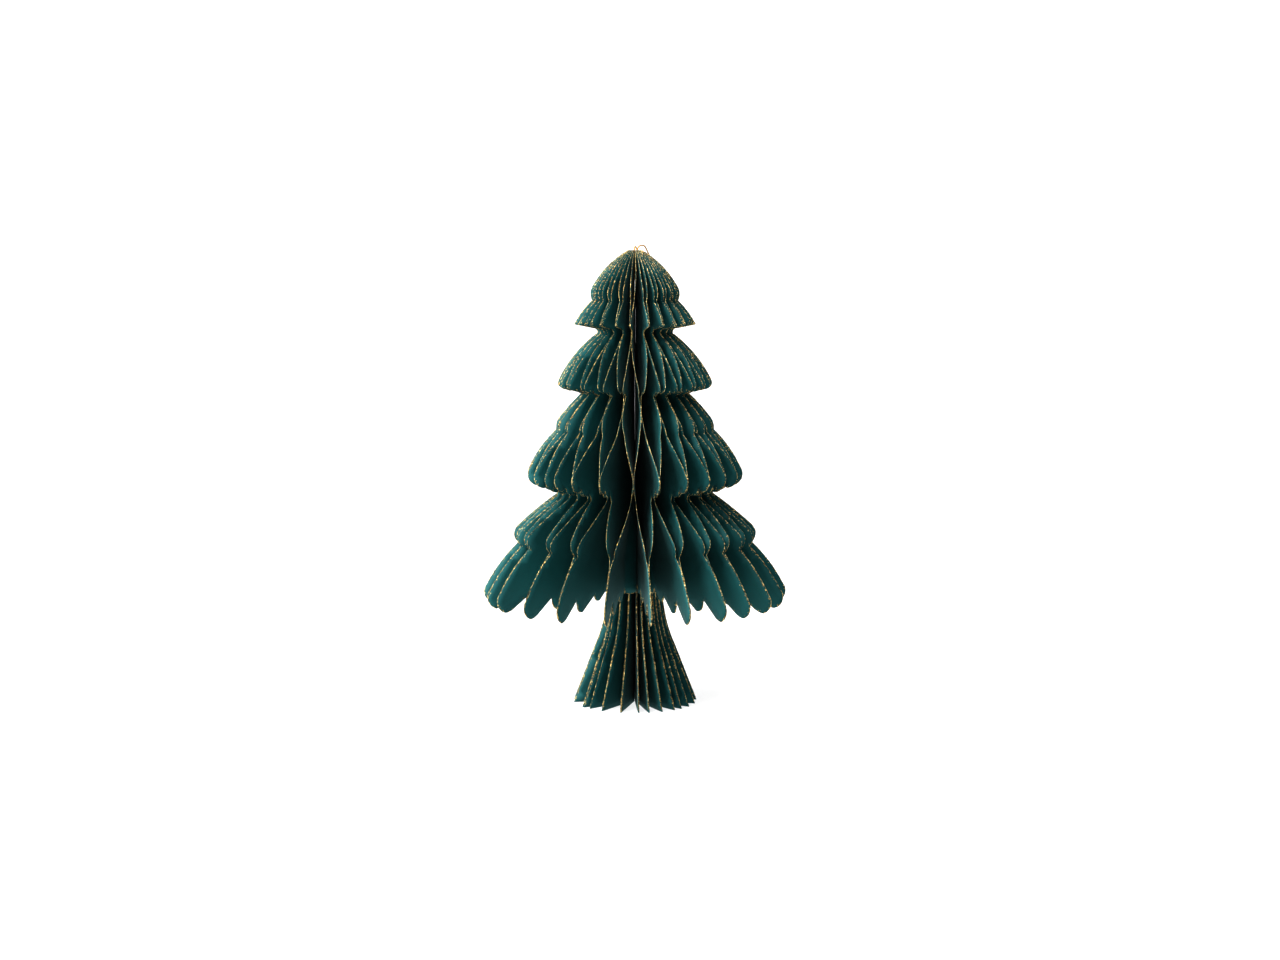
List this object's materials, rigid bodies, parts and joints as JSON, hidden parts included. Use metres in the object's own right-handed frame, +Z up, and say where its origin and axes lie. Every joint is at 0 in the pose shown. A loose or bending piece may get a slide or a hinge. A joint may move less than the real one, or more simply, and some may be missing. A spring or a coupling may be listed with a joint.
{
  "type": "honeycomb paper christmas tree",
  "caption": "Standing honeycomb paper fir tree of die-cut leaves that fan open round a hollow core, with a magnet seam and a thin hanging loop.",
  "frame": {"origin": "centre of the trunk's foot, on the surface the tree stands on", "axes": "+Z up along the hollow core to the apex, -Y the front, +X to the right seen from the front"},
  "size_m": [0.2006, 0.2006, 0.3037],
  "materials": {
    "paper": "matt dark teal-green paper with gold glitter on its cut edges",
    "magnet": "nickel-plated disc magnet",
    "cord": "metallic gold thread"
  },
  "bodies": {
    "carrier_leaf": {"leaf_28": "paper", "cord_knot": "cord", "hanging_cord": "cord"},
    "first_cover": {"leaf_01": "paper", "magnet_first_trunk": "magnet", "magnet_first_skirt": "magnet", "magnet_first_crown": "magnet"},
    "fan_leaf_02": {"leaf_02": "paper"},
    "fan_leaf_03": {"leaf_03": "paper"},
    "fan_leaf_04": {"leaf_04": "paper"},
    "fan_leaf_05": {"leaf_05": "paper"},
    "fan_leaf_06": {"leaf_06": "paper"},
    "fan_leaf_07": {"leaf_07": "paper"},
    "fan_leaf_08": {"leaf_08": "paper"},
    "fan_leaf_09": {"leaf_09": "paper"},
    "fan_leaf_10": {"leaf_10": "paper"},
    "fan_leaf_11": {"leaf_11": "paper"},
    "fan_leaf_12": {"leaf_12": "paper"},
    "fan_leaf_13": {"leaf_13": "paper"},
    "fan_leaf_14": {"leaf_14": "paper"},
    "fan_leaf_15": {"leaf_15": "paper"},
    "fan_leaf_16": {"leaf_16": "paper"},
    "fan_leaf_17": {"leaf_17": "paper"},
    "fan_leaf_18": {"leaf_18": "paper"},
    "fan_leaf_19": {"leaf_19": "paper"},
    "fan_leaf_20": {"leaf_20": "paper"},
    "fan_leaf_21": {"leaf_21": "paper"},
    "fan_leaf_22": {"leaf_22": "paper"},
    "fan_leaf_23": {"leaf_23": "paper"},
    "fan_leaf_24": {"leaf_24": "paper"},
    "fan_leaf_25": {"leaf_25": "paper"},
    "fan_leaf_26": {"leaf_26": "paper"},
    "fan_leaf_27": {"leaf_27": "paper"},
    "fan_leaf_29": {"leaf_29": "paper"},
    "fan_leaf_30": {"leaf_30": "paper"},
    "fan_leaf_31": {"leaf_31": "paper"},
    "fan_leaf_32": {"leaf_32": "paper"},
    "fan_leaf_33": {"leaf_33": "paper"},
    "fan_leaf_34": {"leaf_34": "paper"},
    "fan_leaf_35": {"leaf_35": "paper"},
    "fan_leaf_36": {"leaf_36": "paper"},
    "fan_leaf_37": {"leaf_37": "paper"},
    "fan_leaf_38": {"leaf_38": "paper"},
    "fan_leaf_39": {"leaf_39": "paper"},
    "fan_leaf_40": {"leaf_40": "paper"},
    "fan_leaf_41": {"leaf_41": "paper"},
    "fan_leaf_42": {"leaf_42": "paper"},
    "fan_leaf_43": {"leaf_43": "paper"},
    "fan_leaf_44": {"leaf_44": "paper"},
    "fan_leaf_45": {"leaf_45": "paper"},
    "fan_leaf_46": {"leaf_46": "paper"},
    "fan_leaf_47": {"leaf_47": "paper"},
    "last_cover": {"leaf_48": "paper", "magnet_last_trunk": "magnet", "magnet_last_skirt": "magnet", "magnet_last_crown": "magnet"}
  },
  "joints": [
    {"name": "fold_first_cover", "type": "hinge", "parent": "carrier_leaf", "child": "first_cover", "pos_m": [0.00468, -0.00301, 0], "axis": [0, 0, 1], "range_deg": [0, 207.71]},
    {"name": "fold_02", "type": "hinge", "parent": "carrier_leaf", "child": "fan_leaf_02", "pos_m": [0.00463, -0.00253, 0], "axis": [0, 0, 1], "range_deg": [0, 199.57]},
    {"name": "fold_03", "type": "hinge", "parent": "carrier_leaf", "child": "fan_leaf_03", "pos_m": [0.00457, -0.00209, 0], "axis": [0, 0, 1], "range_deg": [0, 191.39]},
    {"name": "fold_04", "type": "hinge", "parent": "carrier_leaf", "child": "fan_leaf_04", "pos_m": [0.0045, -0.00168, 0], "axis": [0, 0, 1], "range_deg": [0, 183.22]},
    {"name": "fold_05", "type": "hinge", "parent": "carrier_leaf", "child": "fan_leaf_05", "pos_m": [0.00442, -0.0013, 0], "axis": [0, 0, 1], "range_deg": [0, 175.14]},
    {"name": "fold_06", "type": "hinge", "parent": "carrier_leaf", "child": "fan_leaf_06", "pos_m": [0.00432, -0.00096, 0], "axis": [0, 0, 1], "range_deg": [0, 167.17]},
    {"name": "fold_07", "type": "hinge", "parent": "carrier_leaf", "child": "fan_leaf_07", "pos_m": [0.00422, -0.00064, 0], "axis": [0, 0, 1], "range_deg": [0, 159.35]},
    {"name": "fold_08", "type": "hinge", "parent": "carrier_leaf", "child": "fan_leaf_08", "pos_m": [0.00411, -0.00034, 0], "axis": [0, 0, 1], "range_deg": [0, 151.72]},
    {"name": "fold_09", "type": "hinge", "parent": "carrier_leaf", "child": "fan_leaf_09", "pos_m": [0.00399, -0.00007, 0], "axis": [0, 0, 1], "range_deg": [0, 144.26]},
    {"name": "fold_10", "type": "hinge", "parent": "carrier_leaf", "child": "fan_leaf_10", "pos_m": [0.00387, 0.00018, 0], "axis": [0, 0, 1], "range_deg": [0, 136.99]},
    {"name": "fold_11", "type": "hinge", "parent": "carrier_leaf", "child": "fan_leaf_11", "pos_m": [0.00373, 0.0004, 0], "axis": [0, 0, 1], "range_deg": [0, 129.87]},
    {"name": "fold_12", "type": "hinge", "parent": "carrier_leaf", "child": "fan_leaf_12", "pos_m": [0.00359, 0.00061, 0], "axis": [0, 0, 1], "range_deg": [0, 122.89]},
    {"name": "fold_13", "type": "hinge", "parent": "carrier_leaf", "child": "fan_leaf_13", "pos_m": [0.00345, 0.0008, 0], "axis": [0, 0, 1], "range_deg": [0, 115.99]},
    {"name": "fold_14", "type": "hinge", "parent": "carrier_leaf", "child": "fan_leaf_14", "pos_m": [0.00329, 0.00098, 0], "axis": [0, 0, 1], "range_deg": [0, 109.14]},
    {"name": "fold_15", "type": "hinge", "parent": "carrier_leaf", "child": "fan_leaf_15", "pos_m": [0.00314, 0.00114, 0], "axis": [0, 0, 1], "range_deg": [0, 102.27]},
    {"name": "fold_16", "type": "hinge", "parent": "carrier_leaf", "child": "fan_leaf_16", "pos_m": [0.00298, 0.00129, 0], "axis": [0, 0, 1], "range_deg": [0, 95.33]},
    {"name": "fold_17", "type": "hinge", "parent": "carrier_leaf", "child": "fan_leaf_17", "pos_m": [0.00282, 0.00143, 0], "axis": [0, 0, 1], "range_deg": [0, 88.28]},
    {"name": "fold_18", "type": "hinge", "parent": "carrier_leaf", "child": "fan_leaf_18", "pos_m": [0.00265, 0.00157, 0], "axis": [0, 0, 1], "range_deg": [0, 81.08]},
    {"name": "fold_19", "type": "hinge", "parent": "carrier_leaf", "child": "fan_leaf_19", "pos_m": [0.00248, 0.00169, 0], "axis": [0, 0, 1], "range_deg": [0, 73.68]},
    {"name": "fold_20", "type": "hinge", "parent": "carrier_leaf", "child": "fan_leaf_20", "pos_m": [0.00231, 0.00181, 0], "axis": [0, 0, 1], "range_deg": [0, 66.08]},
    {"name": "fold_21", "type": "hinge", "parent": "carrier_leaf", "child": "fan_leaf_21", "pos_m": [0.00214, 0.00192, 0], "axis": [0, 0, 1], "range_deg": [0, 58.27]},
    {"name": "fold_22", "type": "hinge", "parent": "carrier_leaf", "child": "fan_leaf_22", "pos_m": [0.00196, 0.00203, 0], "axis": [0, 0, 1], "range_deg": [0, 50.26]},
    {"name": "fold_23", "type": "hinge", "parent": "carrier_leaf", "child": "fan_leaf_23", "pos_m": [0.00179, 0.00214, 0], "axis": [0, 0, 1], "range_deg": [0, 42.07]},
    {"name": "fold_24", "type": "hinge", "parent": "carrier_leaf", "child": "fan_leaf_24", "pos_m": [0.00161, 0.00224, 0], "axis": [0, 0, 1], "range_deg": [0, 33.74]},
    {"name": "fold_25", "type": "hinge", "parent": "carrier_leaf", "child": "fan_leaf_25", "pos_m": [0.00143, 0.00234, 0], "axis": [0, 0, 1], "range_deg": [0, 25.31]},
    {"name": "fold_26", "type": "hinge", "parent": "carrier_leaf", "child": "fan_leaf_26", "pos_m": [0.00125, 0.00243, 0], "axis": [0, 0, 1], "range_deg": [0, 16.84]},
    {"name": "fold_27", "type": "hinge", "parent": "carrier_leaf", "child": "fan_leaf_27", "pos_m": [0.00107, 0.00252, 0], "axis": [0, 0, 1], "range_deg": [0, 8.39]},
    {"name": "fold_29", "type": "hinge", "parent": "carrier_leaf", "child": "fan_leaf_29", "pos_m": [0.00071, 0.00269, 0], "axis": [0, 0, 1], "range_deg": [-8.26, 0]},
    {"name": "fold_30", "type": "hinge", "parent": "carrier_leaf", "child": "fan_leaf_30", "pos_m": [0.00053, 0.00277, 0], "axis": [0, 0, 1], "range_deg": [-16.33, 0]},
    {"name": "fold_31", "type": "hinge", "parent": "carrier_leaf", "child": "fan_leaf_31", "pos_m": [0.00034, 0.00285, 0], "axis": [0, 0, 1], "range_deg": [-24.18, 0]},
    {"name": "fold_32", "type": "hinge", "parent": "carrier_leaf", "child": "fan_leaf_32", "pos_m": [0.00015, 0.00292, 0], "axis": [0, 0, 1], "range_deg": [-31.8, 0]},
    {"name": "fold_33", "type": "hinge", "parent": "carrier_leaf", "child": "fan_leaf_33", "pos_m": [-0.00004, 0.00298, 0], "axis": [0, 0, 1], "range_deg": [-39.18, 0]},
    {"name": "fold_34", "type": "hinge", "parent": "carrier_leaf", "child": "fan_leaf_34", "pos_m": [-0.00023, 0.00304, 0], "axis": [0, 0, 1], "range_deg": [-46.31, 0]},
    {"name": "fold_35", "type": "hinge", "parent": "carrier_leaf", "child": "fan_leaf_35", "pos_m": [-0.00042, 0.0031, 0], "axis": [0, 0, 1], "range_deg": [-53.23, 0]},
    {"name": "fold_36", "type": "hinge", "parent": "carrier_leaf", "child": "fan_leaf_36", "pos_m": [-0.00062, 0.00314, 0], "axis": [0, 0, 1], "range_deg": [-59.97, 0]},
    {"name": "fold_37", "type": "hinge", "parent": "carrier_leaf", "child": "fan_leaf_37", "pos_m": [-0.00081, 0.00318, 0], "axis": [0, 0, 1], "range_deg": [-66.57, 0]},
    {"name": "fold_38", "type": "hinge", "parent": "carrier_leaf", "child": "fan_leaf_38", "pos_m": [-0.00102, 0.0032, 0], "axis": [0, 0, 1], "range_deg": [-73.09, 0]},
    {"name": "fold_39", "type": "hinge", "parent": "carrier_leaf", "child": "fan_leaf_39", "pos_m": [-0.00123, 0.00321, 0], "axis": [0, 0, 1], "range_deg": [-79.59, 0]},
    {"name": "fold_40", "type": "hinge", "parent": "carrier_leaf", "child": "fan_leaf_40", "pos_m": [-0.00144, 0.00321, 0], "axis": [0, 0, 1], "range_deg": [-86.12, 0]},
    {"name": "fold_41", "type": "hinge", "parent": "carrier_leaf", "child": "fan_leaf_41", "pos_m": [-0.00166, 0.00319, 0], "axis": [0, 0, 1], "range_deg": [-92.74, 0]},
    {"name": "fold_42", "type": "hinge", "parent": "carrier_leaf", "child": "fan_leaf_42", "pos_m": [-0.00188, 0.00315, 0], "axis": [0, 0, 1], "range_deg": [-99.5, 0]},
    {"name": "fold_43", "type": "hinge", "parent": "carrier_leaf", "child": "fan_leaf_43", "pos_m": [-0.00211, 0.00309, 0], "axis": [0, 0, 1], "range_deg": [-106.43, 0]},
    {"name": "fold_44", "type": "hinge", "parent": "carrier_leaf", "child": "fan_leaf_44", "pos_m": [-0.00235, 0.00302, 0], "axis": [0, 0, 1], "range_deg": [-113.58, 0]},
    {"name": "fold_45", "type": "hinge", "parent": "carrier_leaf", "child": "fan_leaf_45", "pos_m": [-0.00259, 0.00292, 0], "axis": [0, 0, 1], "range_deg": [-120.94, 0]},
    {"name": "fold_46", "type": "hinge", "parent": "carrier_leaf", "child": "fan_leaf_46", "pos_m": [-0.00284, 0.00281, 0], "axis": [0, 0, 1], "range_deg": [-128.51, 0]},
    {"name": "fold_47", "type": "hinge", "parent": "carrier_leaf", "child": "fan_leaf_47", "pos_m": [-0.0031, 0.00267, 0], "axis": [0, 0, 1], "range_deg": [-136.29, 0]},
    {"name": "fold_last_cover", "type": "hinge", "parent": "carrier_leaf", "child": "last_cover", "pos_m": [-0.00337, 0.00252, 0], "axis": [0, 0, 1], "range_deg": [-144.24, 0]}
  ],
  "couplings": [
    {"joint": "fold_02", "follows": "fold_first_cover", "ratio": 0.96073},
    {"joint": "fold_03", "follows": "fold_first_cover", "ratio": 0.92131},
    {"joint": "fold_04", "follows": "fold_first_cover", "ratio": 0.88202},
    {"joint": "fold_05", "follows": "fold_first_cover", "ratio": 0.84308},
    {"joint": "fold_06", "follows": "fold_first_cover", "ratio": 0.80472},
    {"joint": "fold_07", "follows": "fold_first_cover", "ratio": 0.7671},
    {"joint": "fold_08", "follows": "fold_first_cover", "ratio": 0.73033},
    {"joint": "fold_09", "follows": "fold_first_cover", "ratio": 0.69444},
    {"joint": "fold_10", "follows": "fold_first_cover", "ratio": 0.65942},
    {"joint": "fold_11", "follows": "fold_first_cover", "ratio": 0.62517},
    {"joint": "fold_12", "follows": "fold_first_cover", "ratio": 0.59155},
    {"joint": "fold_13", "follows": "fold_first_cover", "ratio": 0.55835},
    {"joint": "fold_14", "follows": "fold_first_cover", "ratio": 0.52534},
    {"joint": "fold_15", "follows": "fold_first_cover", "ratio": 0.49226},
    {"joint": "fold_16", "follows": "fold_first_cover", "ratio": 0.45887},
    {"joint": "fold_17", "follows": "fold_first_cover", "ratio": 0.42493},
    {"joint": "fold_18", "follows": "fold_first_cover", "ratio": 0.39024},
    {"joint": "fold_19", "follows": "fold_first_cover", "ratio": 0.35465},
    {"joint": "fold_20", "follows": "fold_first_cover", "ratio": 0.31806},
    {"joint": "fold_21", "follows": "fold_first_cover", "ratio": 0.28045},
    {"joint": "fold_22", "follows": "fold_first_cover", "ratio": 0.24187},
    {"joint": "fold_23", "follows": "fold_first_cover", "ratio": 0.20244},
    {"joint": "fold_24", "follows": "fold_first_cover", "ratio": 0.16232},
    {"joint": "fold_25", "follows": "fold_first_cover", "ratio": 0.12175},
    {"joint": "fold_26", "follows": "fold_first_cover", "ratio": 0.08099},
    {"joint": "fold_27", "follows": "fold_first_cover", "ratio": 0.040313},
    {"joint": "fold_29", "follows": "fold_first_cover", "ratio": -0.039688},
    {"joint": "fold_30", "follows": "fold_first_cover", "ratio": -0.078526},
    {"joint": "fold_31", "follows": "fold_first_cover", "ratio": -0.11634},
    {"joint": "fold_32", "follows": "fold_first_cover", "ratio": -0.15302},
    {"joint": "fold_33", "follows": "fold_first_cover", "ratio": -0.18852},
    {"joint": "fold_34", "follows": "fold_first_cover", "ratio": -0.22288},
    {"joint": "fold_35", "follows": "fold_first_cover", "ratio": -0.2562},
    {"joint": "fold_36", "follows": "fold_first_cover", "ratio": -0.28863},
    {"joint": "fold_37", "follows": "fold_first_cover", "ratio": -0.32042},
    {"joint": "fold_38", "follows": "fold_first_cover", "ratio": -0.3518},
    {"joint": "fold_39", "follows": "fold_first_cover", "ratio": -0.38307},
    {"joint": "fold_40", "follows": "fold_first_cover", "ratio": -0.41451},
    {"joint": "fold_41", "follows": "fold_first_cover", "ratio": -0.44638},
    {"joint": "fold_42", "follows": "fold_first_cover", "ratio": -0.47892},
    {"joint": "fold_43", "follows": "fold_first_cover", "ratio": -0.51232},
    {"joint": "fold_44", "follows": "fold_first_cover", "ratio": -0.5467},
    {"joint": "fold_45", "follows": "fold_first_cover", "ratio": -0.58214},
    {"joint": "fold_46", "follows": "fold_first_cover", "ratio": -0.61862},
    {"joint": "fold_47", "follows": "fold_first_cover", "ratio": -0.65605},
    {"joint": "fold_last_cover", "follows": "fold_first_cover", "ratio": -0.69431}
  ]
}
